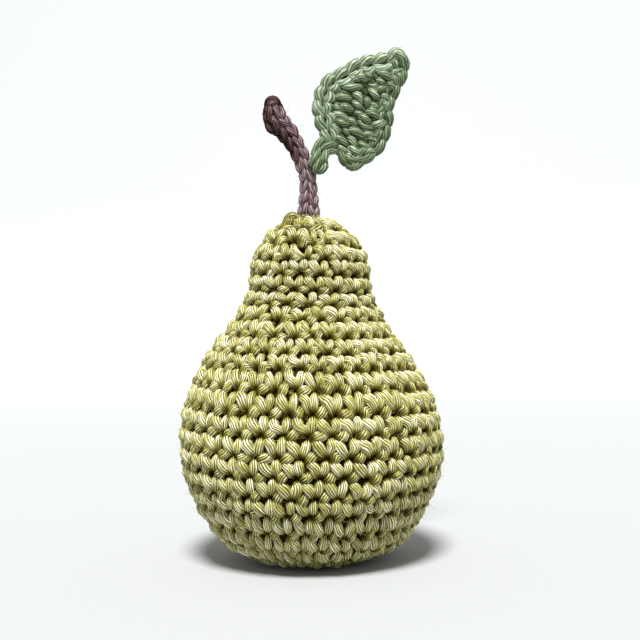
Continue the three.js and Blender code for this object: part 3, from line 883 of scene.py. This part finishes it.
# Leaf: a chain edge round rows of posts, alike on both faces, and its chain stalk
leaf = {
    "face": -1.0,  # where the middle of its thickness stands in y
    "layer": 0.55,  # how far the edge's lobes lie to each side of the middle
    "edge": [(6.2, 106.5), (4.9, 108.8), (4.0, 111.1), (3.4, 113.7), (3.1, 116.3), (3.7, 118.8),
             (4.9, 121.1), (6.7, 122.8), (9.6, 124.2), (12.4, 126.0), (15.5, 127.0), (18.4, 127.3),
             (20.9, 127.8), (23.0, 128.9), (24.7, 127.7), (24.5, 124.6), (23.3, 121.6),
             (21.8, 118.5), (20.6, 115.7), (20.5, 112.9), (20.0, 109.8), (19.0, 106.8),
             (17.2, 104.5), (14.3, 102.4), (11.5, 101.0), (9.8, 102.1), (9.2, 104.6)],
    "edgeStitches": 20,
    "edgeTwist": -80,
    "edgeUneven": (0.08, 0.06),  # how far the yarn strays, along and across
    # share of the way round the edge, and how wide its stitches are there, and how light they are painted:
    # lower is painted shade
    "edgeWidth": [(0, 1.1), (0.08, 1.35), (0.4, 1.4), (0.52, 1.15), (0.62, 1.0), (1, 1.05)],
    "edgeLight": [(0, 0.85), (0.1, 1), (0.45, 1), (0.56, 0.7), (0.8, 0.68), (0.88, 0.85), (1, 0.75)],
    # both legs of a chain stitch 4.6 long: along, outwards, towards the front and thickness
    "edgeLength": 4.6,
    "edgeLegs": [
        [(-0.8, 0.25, -0.5, 0.75), (0.9, 0.8, 0.1, 1.05), (2.6, 1.05, 0.3, 1.15),
         (4.3, 1.0, 0.0, 1.0), (5.6, 0.7, -0.6, 0.7)],
        [(-0.8, -0.2, -0.5, 0.75), (0.9, -0.85, 0.1, 1.05), (2.6, -1.15, 0.2, 1.15),
         (4.3, -1.0, 0.0, 0.98), (5.6, -0.5, -0.6, 0.7)],
    ],
    "edgeInset": 0.3,  # how far in they sit, and how much more where they are twice as wide
    "edgeDraw": 1.7,
    # posts from near the edge to the middle line, two lobes each
    "posts": [
        ((18.6, 124.5), (21.6, 121.3)), ((15.2, 124.3), (19.0, 120.9)), ((11.9, 123.1), (15.9, 119.4)),
        ((9.3, 121.0), (14.4, 119.9)), ((7.2, 118.8), (12.3, 117.4)), ((6.6, 116.0), (11.7, 114.3)),
        ((5.5, 113.4), (11.1, 111.3)), ((5.0, 111.4), (10.6, 107.7)), ((5.5, 109.3), (11.0, 104.6)),
        ((7.4, 105.7), (11.0, 102.0)), ((23.1, 122.3), (20.5, 119.3)), ((21.5, 118.5), (16.9, 118.3)),
        ((21.0, 115.7), (16.4, 115.8)), ((20.4, 113.1), (14.3, 114.3)), ((20.4, 110.6), (13.7, 111.7)),
        ((19.8, 108.0), (13.1, 109.2)), ((18.2, 105.5), (12.1, 107.1)), ((15.6, 103.0), (11.5, 105.6)),
        ((12.0, 101.0), (10.5, 104.1)),
    ],
    # lobes of the posts that show on each face, from above down: x and z along each
    "lobes": [
        [(9.1, 121.6), (11.6, 120.6), (14.2, 120.2)], [(7.3, 118.9), (9.2, 118.3), (11.6, 117.1)],
        [(13.1, 122.2), (14.6, 121.5), (15.8, 120.1)], [(15.2, 124.1), (15.9, 123.4), (16.6, 122.7)],
        [(18.6, 123.8), (20.2, 123.6), (21.9, 122.6)], [(16.0, 121.9), (17.3, 120.7), (18.9, 120.9)],
        [(16.3, 120.3), (17.3, 118.9), (18.3, 117.3)], [(11.6, 119.0), (13.2, 118.4), (14.5, 117.0)],
        [(11.8, 116.9), (12.9, 116.2), (14.3, 115.4)], [(8.8, 116.3), (10.1, 115.5), (11.9, 114.5)],
        [(7.1, 116.4), (7.8, 115.5), (8.8, 115.1)], [(7.2, 114.2), (8.7, 113.6), (10.5, 111.9)],
        [(12.5, 114.5), (13.5, 113.9), (14.0, 112.5)], [(15.1, 114.4), (16.8, 113.8), (18.6, 112.2)],
        [(16.5, 116.4), (17.7, 116.0), (18.8, 115.1)], [(20.2, 115.9), (19.4, 114.7), (18.2, 114.0)],
        [(14.2, 113.3), (15.0, 112.5), (16.0, 111.1)], [(13.4, 111.9), (15.0, 110.5), (17.3, 109.7)],
        [(19.9, 111.8), (18.5, 110.8), (17.0, 110.6)], [(10.7, 112.5), (11.5, 111.9), (12.4, 110.7)],
        [(7.7, 112.0), (9.1, 111.4), (10.5, 111.2)], [(11.2, 110.0), (12.6, 109.3), (14.1, 107.5)],
        [(14.2, 108.7), (15.7, 108.5), (17.9, 107.5)], [(9.3, 110.2), (10.0, 109.4), (10.8, 108.4)],
        [(10.4, 108.0), (11.4, 107.2), (12.7, 105.4)], [(12.7, 106.8), (14.5, 105.6), (16.7, 104.5)],
        [(7.3, 108.5), (8.6, 107.3), (10.0, 105.4)], [(10.9, 104.8), (12.1, 104.2), (13.5, 103.8)],
        [(8.2, 105.9), (9.0, 104.7), (9.7, 103.1)], [(9.7, 103.3), (10.7, 102.5), (11.5, 101.5)],
        [(11.7, 101.3), (12.9, 102.2), (14.4, 102.4)], [(5.5, 112.0), (7.1, 110.4), (8.9, 109.4)],
        [(20.8, 121.6), (21.5, 121.0), (22.5, 119.8)], [(18.9, 118.5), (19.9, 118.1), (20.8, 117.3)],
        [(19.6, 116.7), (20.4, 115.9), (21.0, 114.3)], [(17.9, 119.3), (18.9, 119.9), (20.3, 120.6)],
        [(22.1, 123.2), (22.7, 122.4), (23.3, 120.8)], [(25.5, 124.3), (24.9, 122.9), (24.1, 121.4)],
        [(23.5, 124.1), (23.9, 122.9), (23.7, 121.4)], [(21.8, 125.0), (23.3, 124.3), (25.5, 124.9)],
        [(22.6, 125.7), (23.0, 127.1), (23.8, 128.3)], [(24.3, 125.5), (25.0, 127.3), (24.0, 129.4)],
        [(16.1, 115.0), (16.6, 114.8), (17.8, 114.2)], [(10.9, 122.8), (12.3, 122.6), (13.6, 122.7)],
        [(13.3, 123.5), (14.4, 123.1), (15.2, 122.1)], [(18.0, 122.7), (19.3, 121.8), (20.3, 121.0)],
        [(15.3, 117.6), (15.7, 116.8), (15.7, 115.6)], [(17.3, 106.1), (16.5, 106.9), (15.5, 107.5)],
        [(19.1, 109.2), (18.5, 108.2), (17.7, 107.1)], [(14.9, 103.6), (15.9, 104.2), (17.0, 104.1)],
    ],
    # a lobe's ends, its quarters and its middle: how far out as a share, and thickness
    "lobeEnd": (0, 0.55),
    "lobeQuarter": (0.75, 0.85),
    "lobeMiddle": (1, 1.0),
    "lobeOut": 0.85,
    "lobePast": 0.3,  # how far its ends go on
    "lobeTwist": -140,
    # how uneven lobes are: turn, length, place outwards, thickness and light
    "lobeUneven": {"turn": 0.18, "length": (0.8, 1.1), "out": 0.3, "plump": (1.05, 1.35),
                   "light": (0.68, 0.9)},
    # the two lobes of a post: how far each lies from its line, at its start and at its end
    "postSpread": (0.825, 0.6),
    # share of the way along the post, how far past that, how far out, and thickness
    "postLobe": [(0, -0.3, -0.2, 0.7), (0.2, 0, 0.1, 0.92), (0.5, 0, 0.1, 1.0), (0.8, 0, 0.1, 0.9),
                 (1, 0.4, -0.2, 0.7)],
    "postStray": 0.2,  # how far its middle strays to a side, and bows out
    "postBow": (0.1, 0.35),
    "postTwist": 70,
    # painted shade on the posts, which lie under the lobes
    "postLight": 0.5,
    # stalk, lobes of (x, z, towards the front, thickness) from the middle of the leaf's thickness
    "stalk": [
        [(5.6, 108.2, 0.2, 0.8), (3.9, 107.2, 0.9, 1.1), (2.3, 105.3, 1.3, 1.15), (1.3, 103.2, 1.2, 0.8)],
        [(7.9, 105.9, 0.5, 0.8), (6.2, 105.8, 1.1, 1.1), (4.5, 105.3, 1.4, 1.05), (3.0, 104.2, 0.9, 0.75)],
        [(8.0, 104.4, 0.3, 0.75), (6.4, 104.3, 0.9, 1.0), (4.9, 103.9, 1.1, 1.0), (3.8, 103.0, 0.7, 0.75)],
        [(0.6, 100.6, 1.6, 0.8), (1.4, 102.0, 2.2, 1.15), (2.4, 103.4, 2.1, 1.1), (3.1, 104.9, 1.2, 0.75)],
        [(5.2, 105.0, 0.9, 0.75), (4.7, 103.6, 1.6, 1.1), (4.3, 102.1, 1.8, 1.1), (4.0, 100.4, 1.0, 0.8)],
        [(1.6, 98.9, 1.6, 0.75), (2.3, 100.4, 2.5, 1.15), (3.2, 101.8, 2.3, 1.1), (3.8, 103.2, 1.4, 0.75)],
        [(4.4, 102.2, 0.4, 0.7), (4.4, 100.5, 1.6, 1.1), (3.5, 99.2, 2.0, 1.1), (2.3, 98.9, 1.3, 0.75)],
        [(5.4, 106.4, -0.9, 0.8), (3.6, 104.6, -0.8, 1.3), (3.2, 102.0, -0.2, 1.4), (2.6, 99.6, 0.4, 1.2)],
    ],
    "stalkTwist": -80,
    # painted shade on the stalk
    "stalkLight": 0.75,
    "yarnWidth": 0.95,
    "yarnDepth": 0.8,
    "plies": 8,
    "crease": 0.16,
    "streak": 0.26,
    # painted shade: yarn deep in the leaf's thickness is painted darker
    "dive": (0, 0.48),  # how far out the yarn is darkest and lightest, and how light it is there
    "diveLight": (0.2, 1),
    "seed": 8,
    "coreHalf": 0.4,  # half the thickness of the dark web between the posts
    # the core's dark colour is painted shade
    "coreShadeColour": "#27331f",
    # creases, shade, mid tone, light and ridges as on the cover, with painted shade and painted
    # highlights; then the painted shade of yarn that dives right under
    "colours": ["#141e00", "#354521", "#526340", "#7d8e6f", "#b7c0ac"],
    "paintedDeepShade": "#0e1600",
    "crisp": (0.14, 0.42),
    "roughness": 0.5,
}


# The next three lay the lobes of one face, with add(points, twist, start, light, place): points of
# x, z, how far towards the front and thickness, which place bends to where they go
def leafEdge(setup, side, draw, add):
    at, total = measuredLine([(x, z, 0) for x, z in setup["edge"]])
    count = setup["edgeStitches"]
    strayAlong, strayAcross = setup["edgeUneven"]
    for stitch in range(count):
        light = np.interp((stitch + 0.5) / count, *zip(*setup["edgeLight"]))

        def place(pattern):
            length = (stitch + pattern[:, 0] / setup["edgeLength"]) * total / count
            centre, along = at(length)
            outward = np.stack([-along[:, 1], along[:, 0], 0 * along[:, 0]], 1)
            wide = np.interp(length / total, *zip(*setup["edgeWidth"]))
            across = pattern[:, 1] * wide - (wide - 1) * setup["edgeDraw"] - setup["edgeInset"]
            return centre + outward * across[:, None] + pattern * [0, 0, 1]

        for leg in setup["edgeLegs"]:
            points = [(x + draw.gauss(0, strayAlong), y + draw.gauss(0, strayAcross),
                       (z + setup["layer"]) * side, t) for x, y, z, t in leg]
            add(points, setup["edgeTwist"], draw.uniform(0, plyTurn), light, place)


def leafPosts(setup, side, draw, add):
    for start, end in setup["posts"]:
        start, end = np.array(start), np.array(end)
        way = (end - start) / np.linalg.norm(end - start)
        aside = np.array([-way[1], way[0]])
        for spread in (-1, 1):
            a = start + aside * spread * setup["postSpread"][0]
            b = end + aside * spread * setup["postSpread"][1]
            stray = aside * draw.gauss(0, setup["postStray"])
            bow = draw.uniform(*setup["postBow"])
            points = []
            for share, past, out, thickness in setup["postLobe"]:
                isMiddle = share == 0.5
                x, z = a * (1 - share) + b * share + way * past + stray * isMiddle
                points.append((x, z, (out + bow * isMiddle) * side, thickness))
            add(points, setup["postTwist"], draw.uniform(0, plyTurn), setup["postLight"])


def leafLobes(setup, side, draw, add):
    uneven = setup["lobeUneven"]
    for lobe in setup["lobes"]:
        a, middle, b = [np.array(point) for point in lobe]
        turn = draw.gauss(0, uneven["turn"])
        half = (b - a) / 2 * draw.uniform(*uneven["length"])
        half = half + turn * np.array([-half[1], half[0]])
        a, b = (a + b) / 2 - half, (a + b) / 2 + half
        past = half / np.linalg.norm(half) * setup["lobePast"]
        away = (setup["lobeOut"] + draw.gauss(0, uneven["out"])) * side
        plump = draw.uniform(*uneven["plump"])
        points = []
        for (x, z), kind in ((a - past, "lobeEnd"), (a * 0.75 + middle * 0.25, "lobeQuarter"),
                             (middle, "lobeMiddle"), (b * 0.75 + middle * 0.25, "lobeQuarter"),
                             (b + past, "lobeEnd")):
            out, thickness = setup[kind]
            points.append((x, z, out * away, thickness * (1 if kind == "lobeEnd" else plump)))
        add(points, setup["lobeTwist"], draw.uniform(0, plyTurn), draw.uniform(*uneven["light"]))


def makeLeaf(setup):
    draw = random.Random(setup["seed"])
    section = yarnSection("leaf_yarn_section", setup)
    lobes = []

    def add(points, twist, start, light, place=lambda pattern: pattern):
        lobe = {"points": points, "twist": twist, "start": start}
        mesh = yarnMesh("leaf_lobe", [lobe], section, setup["plies"])
        x, z, out = place(meshPoints(mesh)).T
        # painted shade, darker towards the middle of the leaf's thickness
        shade = np.interp(np.abs(out), setup["dive"], setup["diveLight"])
        points = np.stack([x, setup["face"] - out, z], 1)
        lobes.append((mesh, points, draw.uniform(-1, 1), light * shade))

    for side in (1, -1):
        leafEdge(setup, side, draw, add)
        leafPosts(setup, side, draw, add)
        leafLobes(setup, side, draw, add)
    for points in setup["stalk"]:
        add(points, setup["stalkTwist"], 0, setup["stalkLight"])
    return joinLobes("leaf_stitches", lobes)


# A web of yarn behind the posts, so that no light comes through; its dark colour is painted shade
def makeLeafCore(setup):
    shape = bmesh.new()
    verts = [shape.verts.new((x, setup["face"] - setup["coreHalf"], z)) for x, z in setup["edge"]]
    bmesh.ops.triangulate(shape, faces=[shape.faces.new(verts)])
    grown = bmesh.ops.extrude_face_region(shape, geom=shape.faces[:])
    moved = [item for item in grown["geom"] if isinstance(item, bmesh.types.BMVert)]
    bmesh.ops.translate(shape, verts=moved, vec=(0, setup["coreHalf"] * 2, 0))
    bmesh.ops.recalc_face_normals(shape, faces=shape.faces)
    mesh = bpy.data.meshes.new("leaf_core")
    shape.to_mesh(mesh)
    shape.free()
    return mesh


leafShade = shadedYarn("green_yarn_in_shade", leaf["coreShadeColour"])
corePiece = finishPiece("leaf_core", makeLeafCore(leaf), leafShade)
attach(corePiece, "root")

leafPiece = finishPiece("leaf_stitches", makeLeaf(leaf), cottonYarn("sage_cotton_yarn", leaf))
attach(leafPiece, "root")
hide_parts("leaf")
print("leaf worked")

makeFluff("stem_fluff", stemPiece, fluff["stem"])
makeFluff("leaf_fluff", leafPiece, fluff["leaf"])
print("stem and leaf fluffed")

# The yarns' sections were only needed to make the lobes
for item in list(bpy.data.objects):
    if item.name.endswith("_section"):
        bpy.data.objects.remove(item)
